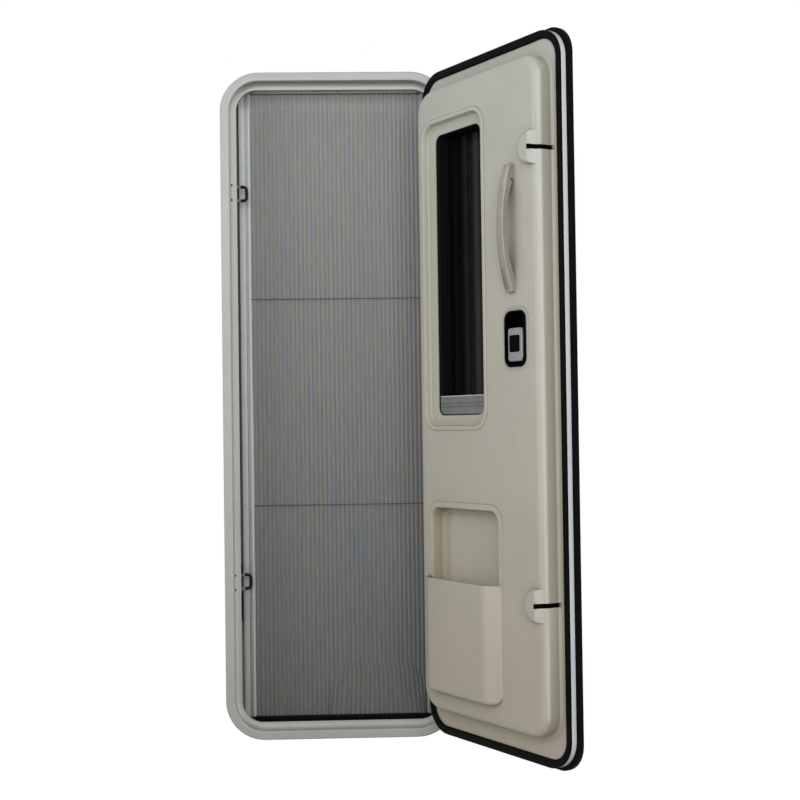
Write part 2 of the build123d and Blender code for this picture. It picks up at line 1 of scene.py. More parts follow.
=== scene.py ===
"""Caravan entry door with a pleated insect screen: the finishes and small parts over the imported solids."""
import json
import math

import bmesh
import bpy
from mathutils import Matrix, Vector


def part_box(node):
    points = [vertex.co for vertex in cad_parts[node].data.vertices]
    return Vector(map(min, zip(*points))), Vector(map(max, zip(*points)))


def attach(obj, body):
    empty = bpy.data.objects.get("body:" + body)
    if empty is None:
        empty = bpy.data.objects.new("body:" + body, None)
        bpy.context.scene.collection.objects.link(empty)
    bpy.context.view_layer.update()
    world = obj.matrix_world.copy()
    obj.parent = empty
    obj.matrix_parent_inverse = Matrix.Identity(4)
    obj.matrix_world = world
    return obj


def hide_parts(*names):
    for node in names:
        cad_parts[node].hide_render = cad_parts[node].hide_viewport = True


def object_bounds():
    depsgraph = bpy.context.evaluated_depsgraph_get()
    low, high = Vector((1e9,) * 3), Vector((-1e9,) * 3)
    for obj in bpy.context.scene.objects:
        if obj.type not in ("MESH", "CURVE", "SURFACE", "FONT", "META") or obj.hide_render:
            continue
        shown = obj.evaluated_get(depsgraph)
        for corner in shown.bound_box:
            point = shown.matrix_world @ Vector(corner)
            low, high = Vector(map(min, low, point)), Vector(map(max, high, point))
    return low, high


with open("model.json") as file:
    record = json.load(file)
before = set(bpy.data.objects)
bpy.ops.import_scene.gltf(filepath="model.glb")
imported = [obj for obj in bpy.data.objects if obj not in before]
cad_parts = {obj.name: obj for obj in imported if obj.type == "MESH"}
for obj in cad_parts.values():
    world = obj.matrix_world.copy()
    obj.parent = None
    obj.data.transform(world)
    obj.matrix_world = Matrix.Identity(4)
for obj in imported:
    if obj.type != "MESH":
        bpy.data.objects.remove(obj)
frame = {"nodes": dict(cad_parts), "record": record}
cad_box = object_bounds()

# The door's own sizes, in metres, as in the solids
MM = 0.001
ORIGIN_UP = 0.010
HINGE_LINE = Vector((0.273, -0.033, 0))
OPEN_ANGLE = math.radians(122.1)
HINGE_HEIGHTS = (1.545, 0.900, 0.255)
PLATEAU_FACE = 0.052
PLEAT_STEP = 0.00605
FOLD_DEEP = 6 * MM
COVE_CENTRE = Vector((-0.274, 0.012, 0))
COVE_RADIUS = 0.012
# Height from which finishes grow darker towards the bottom
LOW_TINT_TOP = 1.75

LEAF_TURN = (Matrix.Translation(HINGE_LINE) @ Matrix.Rotation(OPEN_ANGLE, 4, "Z")
             @ Matrix.Translation(-HINGE_LINE))

record = frame["record"]
BODY_OF = {node: body for body, nodes in record["behaviour"]["bodies"].items() for node in nodes}
SLOT_OF = {part["node"]: part["material_slot"] for part in record["subparts"]}


def on_leaf(x, y, z):
    """A point of the shut door, in metres above the frame's foot, where the open leaf has it"""
    return LEAF_TURN @ Vector((x, y, z - ORIGIN_UP))


def along_leaf(x, y, z):
    """A direction of the shut door, turned with the open leaf"""
    return LEAF_TURN.to_3x3() @ Vector((x, y, z))


def reach(way, x=0.0, y=0.0):
    """How far a place on the shut door lies along a turned direction, once the leaf is open"""
    return way.dot(on_leaf(x, y, 0))


TO_LOCK = along_leaf(-1, 0, 0)
TO_SHOULDER = along_leaf(-0.938, 0.343, 0)
INWARD = along_leaf(0, 1, 0)


# Colour and pattern helpers
def linear(code):
    """An sRGB hex colour as linear red, green and blue, with full alpha"""
    parts = [int(code[i:i + 2], 16) / 255 for i in (1, 3, 5)]
    return [p / 12.92 if p <= 0.04045 else ((p + 0.055) / 1.055) ** 2.4 for p in parts] + [1.0]


def per_mm(size):
    """The texture scale at which one feature of a pattern is this many millimetres wide"""
    return 1000.0 / size


def find_socket(sockets, key):
    """A node's socket by its identifier, or else by its name"""
    for socket in sockets:
        if socket.identifier == key:
            return socket
    return sockets[key]


def add_node(tree, kind, inputs=None, **settings):
    """Adds one node; an input that is a (node, output) pair is linked, any other is set"""
    node = tree.nodes.new(kind)
    for name, value in settings.items():
        setattr(node, name, value)
    for key, value in (inputs or {}).items():
        socket = find_socket(node.inputs, key)
        if isinstance(value, tuple) and isinstance(value[0], bpy.types.Node):
            tree.links.new(find_socket(value[0].outputs, value[1]), socket)
        else:
            socket.default_value = value
    return node


def new_finish(name, sockets):
    """A material with its shader and its coordinates on the piece"""
    finish = bpy.data.materials.new(name)
    finish.use_nodes = True
    tree = finish.node_tree
    tree.nodes.clear()
    shader = add_node(tree, "ShaderNodeBsdfPrincipled", sockets)
    add_node(tree, "ShaderNodeOutputMaterial", {"Surface": (shader, "BSDF")})
    place = add_node(tree, "ShaderNodeTexCoord")
    return finish, tree, shader, place


def surface(name, light, dark, mottle_mm, grain_mm, grain_deep_mm, rough, rough_swing,
            stretch=(1, 1, 1), sockets=None, foot=None):
    """A finish that drifts between two tones, with a grain in bump and gloss; foot tints it low down"""
    finish, tree, shader, place = new_finish(name, sockets)
    drift = add_node(tree, "ShaderNodeTexNoise", {
        "Vector": (place, "Object"), "Scale": per_mm(mottle_mm), "Detail": 4.0, "Roughness": 0.6})
    spread = add_node(tree, "ShaderNodeMapRange", {"Value": (drift, "Fac"), "From Min": 0.3, "From Max": 0.7})
    tone = add_node(tree, "ShaderNodeMix", {
        "Factor_Float": (spread, "Result"), "A_Color": linear(dark), "B_Color": linear(light)},
        data_type="RGBA")
    turned = add_node(tree, "ShaderNodeMapping", {"Vector": (place, "Object"), "Scale": stretch})
    grain = add_node(tree, "ShaderNodeTexNoise", {
        "Vector": (turned, "Vector"), "Scale": per_mm(grain_mm), "Detail": 3.0})
    gloss = add_node(tree, "ShaderNodeMapRange", {
        "Value": (grain, "Fac"), "From Min": 0.25, "From Max": 0.75,
        "To Min": rough - rough_swing, "To Max": rough + rough_swing})
    relief = add_node(tree, "ShaderNodeBump", {
        "Height": (grain, "Fac"), "Strength": 1.0, "Distance": grain_deep_mm * MM})
    tree.links.new(find_socket(tone.outputs, "Result_Color"), shader.inputs["Base Color"])
    tree.links.new(gloss.outputs["Result"], shader.inputs["Roughness"])
    tree.links.new(relief.outputs["Normal"], shader.inputs["Normal"])
    if foot:
        spot = add_node(tree, "ShaderNodeSeparateXYZ", {"Vector": (place, "Object")})
        low = add_node(tree, "ShaderNodeMapRange", {
            "Value": (spot, "Z"), "From Min": LOW_TINT_TOP, "From Max": 0.0})
        lay_over(finish, [low], foot, blend="MULTIPLY")
    return finish


def find_node(finish, kind):
    """The one node of a finish that has this type"""
    return next(node for node in finish.node_tree.nodes if node.type == kind)


def lay_over(finish, masks, code, blend="MIX"):
    """A second tone laid over a finish where all of its masks are one"""
    tree, shader = finish.node_tree, find_node(finish, "BSDF_PRINCIPLED")
    share = (masks[0], "Result")
    for mask in masks[1:]:
        both = add_node(tree, "ShaderNodeMath", {"Value": share, "Value_001": (mask, "Result")},
                        operation="MULTIPLY")
        share = (both, "Value")
    under = shader.inputs["Base Color"].links[0].from_node
    tone = add_node(tree, "ShaderNodeMix", {
        "Factor_Float": share, "A_Color": (under, "Result_Color"), "B_Color": linear(code)},
        data_type="RGBA", blend_type=blend)
    tree.links.new(find_socket(tone.outputs, "Result_Color"), shader.inputs["Base Color"])


# Frame: ABS moulded in a textured tool, light grey and satin, with a soft orange peel, darker towards the
# bottom
frame_grey = surface("moulded_abs_light_grey", "#c6c7c4", "#bfc0bc", mottle_mm=90, grain_mm=3.5,
                     grain_deep_mm=0.02, rough=0.42, rough_swing=0.05, foot="#e3e1db")


def paint_frame_shade_and_light(finish):
    """Paints shade under the frame's ledges, where they face down, and paints light on the lock jamb's cove,
    where it faces the opening
    """
    tree, place = finish.node_tree, find_node(finish, "TEX_COORD")
    spot = add_node(tree, "ShaderNodeSeparateXYZ", {"Vector": (place, "Object")})
    facing = add_node(tree, "ShaderNodeSeparateXYZ", {"Vector": (place, "Normal")})
    # Painted shade on the surfaces that face down, under the ledges
    under = add_node(tree, "ShaderNodeMapRange", {
        "Value": (facing, "Z"), "From Min": -0.1, "From Max": -0.9, "To Max": 0.75})
    lay_over(finish, [under], "#83817d")
    # Painted light on the lock jamb's cove, on the surfaces that face the hinge side
    to_hinge = add_node(tree, "ShaderNodeMapRange", {
        "Value": (facing, "X"), "From Min": 0.15, "From Max": 0.75, "To Max": 0.6})
    jamb = add_node(tree, "ShaderNodeMapRange", {
        "Value": (spot, "X"), "From Min": -0.225, "From Max": -0.275})
    lay_over(finish, [to_hinge, jamb], "#fafaf8")


# Painted shade under the ledges and painted light on the lock jamb's cove
paint_frame_shade_and_light(frame_grey)

# Inner panel: thermoformed ABS sheet, cream, its fine leather grain drawn coarser so that it shows
panel_cream = surface("thermoformed_abs_cream", "#c8c8c0", "#c1c1b8", mottle_mm=160, grain_mm=4.0,
                      grain_deep_mm=0.035, rough=0.50, rough_swing=0.06, foot="#eee4d6")


def paint_panel_light_and_shade(finish):
    """Paints a highlight on the panel's outer shoulder, shade on the wall beside it, shade on the storage
    recess's wall and shade in the corners
    """
    tree, place = finish.node_tree, find_node(finish, "TEX_COORD")
    across = add_node(tree, "ShaderNodeVectorMath", {"Vector": (place, "Object"), "Vector_001": TO_LOCK},
                      operation="DOT_PRODUCT")
    outer = add_node(tree, "ShaderNodeMapRange", {
        "Value": (across, "Value"), "From Min": reach(TO_LOCK, x=-0.174),
        "From Max": reach(TO_LOCK, x=-0.194)})
    turned_out = add_node(tree, "ShaderNodeVectorMath", {
        "Vector": (place, "Normal"), "Vector_001": TO_SHOULDER}, operation="DOT_PRODUCT")
    # Painted highlight on the outer shoulder's bevel, where it faces the light
    shoulder_highlight = add_node(tree, "ShaderNodeMapRange", {
        "Value": (turned_out, "Value"), "From Min": 0.93, "From Max": 0.99, "To Max": 0.55})
    lay_over(finish, [shoulder_highlight, outer], "#dcdcd4")
    # Painted shade on the outer wall beside the shoulder
    turned_side = add_node(tree, "ShaderNodeVectorMath", {
        "Vector": (place, "Normal"), "Vector_001": TO_LOCK}, operation="DOT_PRODUCT")
    wall_shade = add_node(tree, "ShaderNodeMapRange", {
        "Value": (turned_side, "Value"), "From Min": 0.945, "From Max": 1.0, "To Max": 0.5})
    lay_over(finish, [wall_shade, outer], "#97947f")
    # Painted shade on the storage recess's wall by the hinge
    depth = add_node(tree, "ShaderNodeVectorMath", {"Vector": (place, "Object"), "Vector_001": INWARD},
                     operation="DOT_PRODUCT")
    sunk = add_node(tree, "ShaderNodeMapRange", {
        "Value": (depth, "Value"), "From Min": reach(INWARD, y=PLATEAU_FACE - 3.8 * MM),
        "From Max": reach(INWARD, y=PLATEAU_FACE - 5.8 * MM)})
    hinge_side = add_node(tree, "ShaderNodeMapRange", {
        "Value": (across, "Value"), "From Min": reach(TO_LOCK, x=0.116),
        "From Max": reach(TO_LOCK, x=0.146)})
    spot = add_node(tree, "ShaderNodeSeparateXYZ", {"Vector": (place, "Object")})
    below = add_node(tree, "ShaderNodeMapRange", {"Value": (spot, "Z"), "From Min": 0.70, "From Max": 0.66})
    upright = add_node(tree, "ShaderNodeMapRange", {
        "Value": (turned_side, "Value"), "From Min": 0.05, "From Max": 0.5})
    lay_over(finish, [sunk, hinge_side, below, upright], "#ebe6d8", blend="MULTIPLY")
    # Painted shade in the panel's corners, deeper where more of the panel closes round
    corner = add_node(tree, "ShaderNodeAmbientOcclusion", {"Distance": 45 * MM}, samples=8)
    corner_shade = add_node(tree, "ShaderNodeMapRange", {
        "Value": (corner, "AO"), "From Min": 0.95, "From Max": 0.45, "To Max": 0.75})
    lay_over(finish, [corner_shade], "#7f7b68")


# Painted highlight and shade on the panel
paint_panel_light_and_shade(panel_cream)

# Seals: extruded EPDM rubber, black and matt with a chalky bloom
seal_rubber = surface("extruded_epdm_black", "#0b0c0c", "#060707", mottle_mm=25, grain_mm=1.5,
                      grain_deep_mm=0.03, rough=0.55, rough_swing=0.10, sockets={"Specular IOR Level": 0.04})

# Leaf edge: aluminium extrusion with a white stoved coat
edge_white = surface("stoved_white_aluminium", "#f6f7fa", "#eef0f3", mottle_mm=60, grain_mm=2.5,
                     grain_deep_mm=0.01, rough=0.32, rough_swing=0.05)

# Screen profiles: satin anodised aluminium, with fine drawing lines along their length
rail_anodised = surface("anodised_aluminium_grey", "#f4f6f5", "#eaedec", mottle_mm=40, grain_mm=1.2,
                        grain_deep_mm=0.01, rough=0.46, rough_swing=0.06, stretch=(1, 1, 0.02),
                        sockets={"Metallic": 0.1}, foot="#b6b5b2")


def paint_profile_light_and_shade(finish):
    """Dulls the profiles beyond the lead bar's face, which paints shade on the top rail; paints shade in the
    gap beside the bar, fainter low down, and a highlight along its nose
    """
    tree, place = finish.node_tree, find_node(finish, "TEX_COORD")
    spot = add_node(tree, "ShaderNodeSeparateXYZ", {"Vector": (place, "Object")})
    bar_left, bar_right = (corner[0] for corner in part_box("screen_lead_bar"))
    # Darker beyond the lead bar's face: a darker strip, and painted shade on the top rail
    dull = add_node(tree, "ShaderNodeMapRange", {
        "Value": (spot, "X"), "From Min": bar_left + 15 * MM, "From Max": bar_left + 17 * MM})
    lay_over(finish, [dull], "#c8cac9", blend="MULTIPLY")
    # Painted shade in the gap beside the lead bar, fainter low down
    gap_shade = add_node(tree, "ShaderNodeMapRange", {
        "Value": (spot, "X"), "From Min": bar_left + 0.6 * MM, "From Max": bar_left - 0.2 * MM})
    higher = add_node(tree, "ShaderNodeMapRange", {
        "Value": (spot, "Z"), "From Min": 0.24, "From Max": 0.32, "To Min": 0.55})
    lay_over(finish, [gap_shade, higher], "#454746")
    # Painted highlight along the lead bar's nose
    nose_highlight = add_node(tree, "ShaderNodeMapRange", {
        "Value": (spot, "X"), "From Min": bar_right - 4 * MM, "From Max": bar_right - 3 * MM, "To Max": 0.6})
    ends = add_node(tree, "ShaderNodeMapRange", {
        "Value": (spot, "X"), "From Min": bar_right + 1.2 * MM, "From Max": bar_right + 0.6 * MM})
    lay_over(finish, [nose_highlight, ends], "#dfe3e4")


paint_profile_light_and_shade(rail_anodised)

# Threshold: extruded PVC, black, scuffed matt by feet
sill_black = surface("extruded_pvc_black", "#110c0a", "#090605", mottle_mm=15, grain_mm=2.0,
                     grain_deep_mm=0.03, rough=0.50, rough_swing=0.14, sockets={"Specular IOR Level": 0.05})

# Strikers: bent steel rod, dipped black, with a painted highlight at its roots
striker_black = surface("coated_steel_black", "#0f0f0f", "#080809", mottle_mm=8, grain_mm=1.0,
                        grain_deep_mm=0.02, rough=0.36, rough_swing=0.10,
                        sockets={"Specular IOR Level": 0.12})
# Where the painted highlight on the strikers' roots begins, along X
ROOT_HIGHLIGHT_EDGE = -0.2621


def paint_root_highlight(finish):
    """Paints a highlight on the strikers' roots near the jamb, its edge ragged"""
    tree, place = finish.node_tree, find_node(finish, "TEX_COORD")
    spot = add_node(tree, "ShaderNodeSeparateXYZ", {"Vector": (place, "Object")})
    ragged = add_node(tree, "ShaderNodeTexNoise", {"Vector": (place, "Object"), "Scale": per_mm(3)})
    edge = add_node(tree, "ShaderNodeMath", {
        "Value": (ragged, "Fac"), "Value_001": 0.8 * MM, "Value_002": (spot, "X")}, operation="MULTIPLY_ADD")
    root_highlight = add_node(tree, "ShaderNodeMapRange", {
        "Value": (edge, "Value"), "From Min": ROOT_HIGHLIGHT_EDGE + 0.3 * MM, "From Max": ROOT_HIGHLIGHT_EDGE - 0.3 * MM})
    lay_over(finish, [root_highlight], "#9c9d99")


# Painted highlight on the strikers' roots
paint_root_highlight(striker_black)

# Hinges: cast aluminium, white powder coat with its fine peel
hinge_white = surface("powder_coated_white", "#d6d7d5", "#cccdca", mottle_mm=30, grain_mm=1.6,
                      grain_deep_mm=0.03, rough=0.40, rough_swing=0.08)

# Outer side: smooth glass fibre sheet, white and glossy
skin_white = surface("gelcoat_white", "#e2e3e1", "#dbdcd9", mottle_mm=220, grain_mm=18,
                     grain_deep_mm=0.02, rough=0.22, rough_swing=0.04)

# Core: rigid polyurethane foam, straw coloured and dull
core_foam = surface("polyurethane_foam", "#dccfa8", "#cfc097", mottle_mm=6, grain_mm=1.2,
                    grain_deep_mm=0.2, rough=0.9, rough_swing=0.05)

# Window gasket and outer frame: injection moulded black PP, with faint ribs one behind the other
gasket_black = surface("moulded_pp_black", "#090a0a", "#050606", mottle_mm=20, grain_mm=1.5,
                       grain_deep_mm=0.02, rough=0.45, rough_swing=0.08, sockets={"Specular IOR Level": 0.06})


def rib_gasket(finish):
    """Draws the gasket's ribs as paler lines along its depth"""
    tree, place = finish.node_tree, find_node(finish, "TEX_COORD")
    depth = add_node(tree, "ShaderNodeVectorMath", {"Vector": (place, "Object"), "Vector_001": INWARD},
                     operation="DOT_PRODUCT")
    ribs = add_node(tree, "ShaderNodeTexNoise", {"W": (depth, "Value"), "Scale": per_mm(12), "Detail": 1.0},
                    noise_dimensions="1D")
    crests = add_node(tree, "ShaderNodeMapRange", {
        "Value": (ribs, "Fac"), "From Min": 0.45, "From Max": 0.65, "To Max": 0.5})
    lay_over(finish, [crests], "#2b2b2d")


rib_gasket(gasket_black)

# Panes: dark tinted acrylic, smooth and glossy, with painted reflections that show as upright stripes
pane_tint = surface("tinted_acrylic", "#0b0d10", "#06080a", mottle_mm=90, grain_mm=22, grain_deep_mm=0.004,
                    rough=0.10, rough_swing=0.05, stretch=(1, 1, 0.02),
                    sockets={"IOR": 1.49, "Specular IOR Level": 0.15})


def paint_pane_reflections(finish):
    """Paints reflections on the pane as upright stripes, clearer in the half by the lock"""
    tree, place = finish.node_tree, find_node(finish, "TEX_COORD")
    across = add_node(tree, "ShaderNodeVectorMath", {"Vector": (place, "Object"), "Vector_001": TO_LOCK},
                      operation="DOT_PRODUCT")
    folds = add_node(tree, "ShaderNodeTexNoise", {"W": (across, "Value"), "Scale": per_mm(24), "Detail": 1.0},
                     noise_dimensions="1D")
    reflection_stripes = add_node(tree, "ShaderNodeMapRange", {
        "Value": (folds, "Fac"), "From Min": 0.42, "From Max": 0.64, "To Min": 0.15})
    lock_half = add_node(tree, "ShaderNodeMapRange", {
        "Value": (across, "Value"), "From Min": reach(TO_LOCK, x=0.146),
        "From Max": reach(TO_LOCK, x=0.006), "To Min": 0.10})
    lay_over(finish, [reflection_stripes, lock_half], "#464749")


# Painted reflections on the pane
paint_pane_reflections(pane_tint)

# Blind rail: extruded PVC, mid grey satin, with a pale lip along its top
blind_grey = surface("extruded_pvc_grey", "#7a7e7a", "#707470", mottle_mm=40, grain_mm=1.6,
                     grain_deep_mm=0.015, rough=0.42, rough_swing=0.06, stretch=(0.1, 0.1, 1))


def lip_blind(finish):
    """Lightens the lip along the top of the blind's rail"""
    tree, place = finish.node_tree, find_node(finish, "TEX_COORD")
    spot = add_node(tree, "ShaderNodeSeparateXYZ", {"Vector": (place, "Object")})
    blind_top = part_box("blind_rail")[1][2]
    lip = add_node(tree, "ShaderNodeMapRange", {
        "Value": (spot, "Z"), "From Min": blind_top - 3.4 * MM, "From Max": blind_top - 3.0 * MM})
    lay_over(finish, [lip], "#c4c6c2")


lip_blind(blind_grey)

# Grab handle: cast zinc with a satin champagne plating, brushed along its length
handle_champagne = surface("satin_champagne_plating", "#a5a198", "#97938a", mottle_mm=25, grain_mm=1.4,
                           grain_deep_mm=0.015, rough=0.40, rough_swing=0.08, stretch=(1, 1, 0.05),
                           sockets={"Metallic": 0.35})

# Lock housing: moulded nylon, black and close to matt
lock_black = surface("moulded_nylon_black", "#060606", "#030303", mottle_mm=14, grain_mm=1.2,
                     grain_deep_mm=0.02, rough=0.36, rough_swing=0.08, sockets={"Specular IOR Level": 0.015})

# Paddle: zinc with a silver metallic lacquer, a soft even sheen
paddle_silver = surface("silver_lacquer", "#989a9c", "#8d8f91", mottle_mm=10, grain_mm=0.8,
                        grain_deep_mm=0.01, rough=0.42, rough_swing=0.08, sockets={"Metallic": 0.2})

# Screws: zinc plated steel, dulled
screw_zinc = surface("zinc_plated_steel", "#4c4c4b", "#343434", mottle_mm=3, grain_mm=0.6,
                     grain_deep_mm=0.02, rough=0.40, rough_swing=0.12, sockets={"Metallic": 0.8})

# Joint lines: painted shade in the seams of the cream panel, warm grey and matt
seam_shade = surface("painted_shadow_seam", "#84827a", "#76746c", mottle_mm=30, grain_mm=1.2,
                     grain_deep_mm=0.03, rough=0.80, rough_swing=0.08)


# Pleated net: grey polyester gauze set in folds, each fold dyed a little bluer or browner, darker at its
# foot, with painted shade and light on its folds and painted light at its top
def dye_cloth():
    """The finish of the pleated cloth"""
    finish, tree, shader, place = new_finish("pleated_polyester_gauze",
                                             {"Roughness": 0.9, "Specular IOR Level": 0.1})
    spot = add_node(tree, "ShaderNodeSeparateXYZ", {"Vector": (place, "Object")})
    facing = add_node(tree, "ShaderNodeSeparateXYZ", {"Vector": (place, "Normal")})
    drawn = add_node(tree, "ShaderNodeMapping", {"Vector": (place, "Object"), "Scale": (1, 1, 0.05)})
    # The dye of each fold, stronger in some patches than in others
    dye = add_node(tree, "ShaderNodeTexNoise", {
        "Vector": (drawn, "Vector"), "Scale": per_mm(7), "Detail": 1.0})
    dye = add_node(tree, "ShaderNodeMath", {"Value": (dye, "Fac"), "Value_001": 0.5}, operation="SUBTRACT")
    patch = add_node(tree, "ShaderNodeTexNoise", {
        "Vector": (place, "Object"), "Scale": per_mm(55), "Detail": 2.0})
    patch = add_node(tree, "ShaderNodeMapRange", {
        "Value": (patch, "Fac"), "From Min": 0.42, "From Max": 0.62, "To Min": 0.15, "To Max": 1.6})
    dye = add_node(tree, "ShaderNodeMath", {"Value": (dye, "Value"), "Value_001": (patch, "Result")},
                   operation="MULTIPLY")
    dye = add_node(tree, "ShaderNodeMapRange", {"Value": (dye, "Value"), "From Min": -0.18, "From Max": 0.18})
    tone = add_node(tree, "ShaderNodeMix", {
        "Factor_Float": (dye, "Result"), "A_Color": linear("#979ea5"), "B_Color": linear("#a49f96")},
        data_type="RGBA")
    # How pale the cloth is: uneven threads, darker low down, painted shade in the folds' valleys with paler
    # crests, painted light on facets that face the hinge in the right half, and painted light at the very top
    thread = add_node(tree, "ShaderNodeTexNoise", {
        "Vector": (drawn, "Vector"), "Scale": per_mm(3.2), "Detail": 2.0})
    # Darker towards the bottom
    low_dark = add_node(tree, "ShaderNodeMapRange", {
        "Value": (spot, "Z"), "From Min": 0.03, "From Max": LOW_TINT_TOP, "To Min": 0.48, "To Max": 1.08})
    level = add_node(tree, "ShaderNodeMath", {
        "Value": (thread, "Fac"), "Value_001": 0.36, "Value_002": (low_dark, "Result")}, operation="MULTIPLY_ADD")
    middle = sum(corner[1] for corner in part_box("pleated_screen")) / 2
    # Painted shade in the folds' valleys, paler on their crests
    fold_shade = add_node(tree, "ShaderNodeMapRange", {
        "Value": (spot, "Y"), "From Min": middle - FOLD_DEEP / 2, "From Max": middle + FOLD_DEEP / 2,
        "To Min": 1.05, "To Max": 0.87})
    # Painted light on the facets that face the hinge, growing towards the right half
    right_half = add_node(tree, "ShaderNodeMapRange", {
        "Value": (spot, "X"), "From Min": -0.12, "From Max": 0.08, "To Max": 0.18})
    facet_light = add_node(tree, "ShaderNodeMath", {
        "Value": (facing, "X"), "Value_001": (right_half, "Result"), "Value_002": 1.0},
        operation="MULTIPLY_ADD")
    # Painted light at the very top, under the frame's head
    top_light = add_node(tree, "ShaderNodeMapRange", {
        "Value": (spot, "Z"), "From Min": 1.695, "From Max": 1.757, "To Min": 1.0, "To Max": 1.38},
        interpolation_type="SMOOTHSTEP")
    for part in ((fold_shade, "Result"), (facet_light, "Value"), (top_light, "Result")):
        level = add_node(tree, "ShaderNodeMath", {"Value": (level, "Value"), "Value_001": part},
                         operation="MULTIPLY")
    tone = add_node(tree, "ShaderNodeVectorMath", {
        "Vector": (tone, "Result_Color"), "Scale": (level, "Value")}, operation="SCALE")
    relief = add_node(tree, "ShaderNodeBump", {
        "Height": (thread, "Fac"), "Strength": 0.5, "Distance": 0.1 * MM})
    tree.links.new(tone.outputs["Vector"], shader.inputs["Base Color"])
    tree.links.new(relief.outputs["Normal"], shader.inputs["Normal"])
    return finish


# Guide cords: braided polyester, dark grey, with the braid drawn coarser so that it shows
def braid_cord():
    """The finish of the guide cords"""
    finish, tree, shader, place = new_finish("braided_polyester_grey", {"Roughness": 0.8})
    braid = add_node(tree, "ShaderNodeTexWave", {
        "Vector": (place, "Object"), "Scale": per_mm(12), "Distortion": 1.0}, bands_direction="DIAGONAL")
    tone = add_node(tree, "ShaderNodeMix", {
        "Factor_Float": (braid, "Fac"), "A_Color": linear("#3c3c3e"), "B_Color": linear("#565658")},
        data_type="RGBA")
    tree.links.new(find_socket(tone.outputs, "Result_Color"), shader.inputs["Base Color"])
    return finish


FINISHES = {
    "frame_shell": frame_grey, "rail_grey": rail_anodised, "rail_black": sill_black,
    "screen_cloth": dye_cloth(), "screen_cord": braid_cord(), "striker_steel": striker_black,
    "hinge_metal": hinge_white, "skin_white": skin_white, "core_foam": core_foam, "edge_metal": edge_white,
    "seal_rubber": seal_rubber, "liner_cream": panel_cream, "gasket_black": gasket_black,
    "tinted_pane": pane_tint, "blind_grey": blind_grey, "handle_metal": handle_champagne,
    "lock_black": lock_black, "paddle_silver": paddle_silver,
}


def place_piece(name, mesh, body):
    """Puts a mesh into the scene as a piece that rides on a body"""
    piece = bpy.data.objects.new(name, mesh)
    bpy.context.scene.collection.objects.link(piece)
    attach(piece, body)
    return piece


def round_edges(piece, width, steps):
    """Rounds the sharp edges of a piece"""
    rounding = piece.modifiers.new("rounding", "BEVEL")
    rounding.width = width
    rounding.segments = steps
    return rounding


# The window's opening reaches nearer to the lock than in the solids: a box on the shut door, and a shift
EDGE_LOW = Vector((0.000, 0.003, 0.861))
EDGE_HIGH = Vector((0.025, 0.0395, 1.589))
EDGE_SHIFT = along_leaf(-0.017, 0, 0)
WINDOW_NODES = ("inner_liner", "window_gasket", "inner_pane", "blind_rail")


def widen_window(verts):
    """Moves the points of a leaf's piece that lie on the window's edge by the lock"""
    back = LEAF_TURN.inverted()
    for vert in verts:
        spot = back @ vert.co
        spot.z += ORIGIN_UP
        if all(EDGE_LOW[i] <= spot[i] <= EDGE_HIGH[i] for i in range(3)):
            vert.co += EDGE_SHIFT


# Solids with their triangles joined and their sharp edges eased by so many millimetres
EASED = {
    "door_frame": 0.8, "frame_sleeve": 0.5, "screen_top_rail": 0.4, "screen_bottom_rail": 0.8,
    "screen_lead_bar": 0.6, "screen_receiver": 0.5, "screen_cassette": 0.6, "striker_upper": 0.4,
    "striker_lower": 0.4, "hinge_frame_upper": 0.8, "hinge_frame_middle": 0.8, "hinge_frame_lower": 0.8,
    "hinge_leaf_upper": 0.8, "hinge_leaf_middle": 0.8, "hinge_leaf_lower": 0.8, "edge_profile": 1.0,
    "outer_rim_seal": 1.2, "inner_seal": 0.8, "inner_liner": 1.2, "storage_bin": 1.2, "window_gasket": 1.0,
    "window_frame": 0.8, "blind_rail": 0.6, "grab_handle": 0.8, "lock_escutcheon": 0.6,
    "release_paddle": 0.8, "lock_button": 0.4, "outer_handle": 0.8, "key_barrel": 0.6,
    "latch_hook_upper": 0.5, "latch_hook_lower": 0.5, "outer_skin": 0.3, "outer_pane": 0.4, "inner_pane": 0.3,
}
SHARP = math.radians(32)
FLAT = math.radians(0.3)


def ease_solid(node, width):
    """A copy of one solid, smooth over its curves, with its sharp edges rounded"""
    mesh = bpy.data.meshes.new(node + "_eased")
    shell = bmesh.new()
    shell.from_mesh(frame["nodes"][node].data)
    bmesh.ops.remove_doubles(shell, verts=shell.verts, dist=0.002 * MM)
    if node in WINDOW_NODES:
        widen_window(shell.verts)
    bmesh.ops.dissolve_limit(shell, angle_limit=FLAT, verts=shell.verts, edges=shell.edges)
    shell.to_mesh(mesh)
    shell.free()
    mesh.materials.clear()
    mesh.materials.append(FINISHES[SLOT_OF[node]])
    mesh.shade_smooth()
    mesh.set_sharp_from_angle(angle=SHARP)
    piece = place_piece(node + "_eased", mesh, BODY_OF[node])
    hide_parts(node)
    rounding = round_edges(piece, width, 2)
    rounding.limit_method = "ANGLE"
    rounding.angle_limit = SHARP
    rounding.harden_normals = True


for node, width_mm in EASED.items():
    ease_solid(node, width_mm * MM)
for node in ("leaf_core", "screen_cord_top", "screen_cord_upper", "screen_cord_lower"):
    solid = frame["nodes"][node]
    solid.data.materials.clear()
    solid.data.materials.append(FINISHES[SLOT_OF[node]])


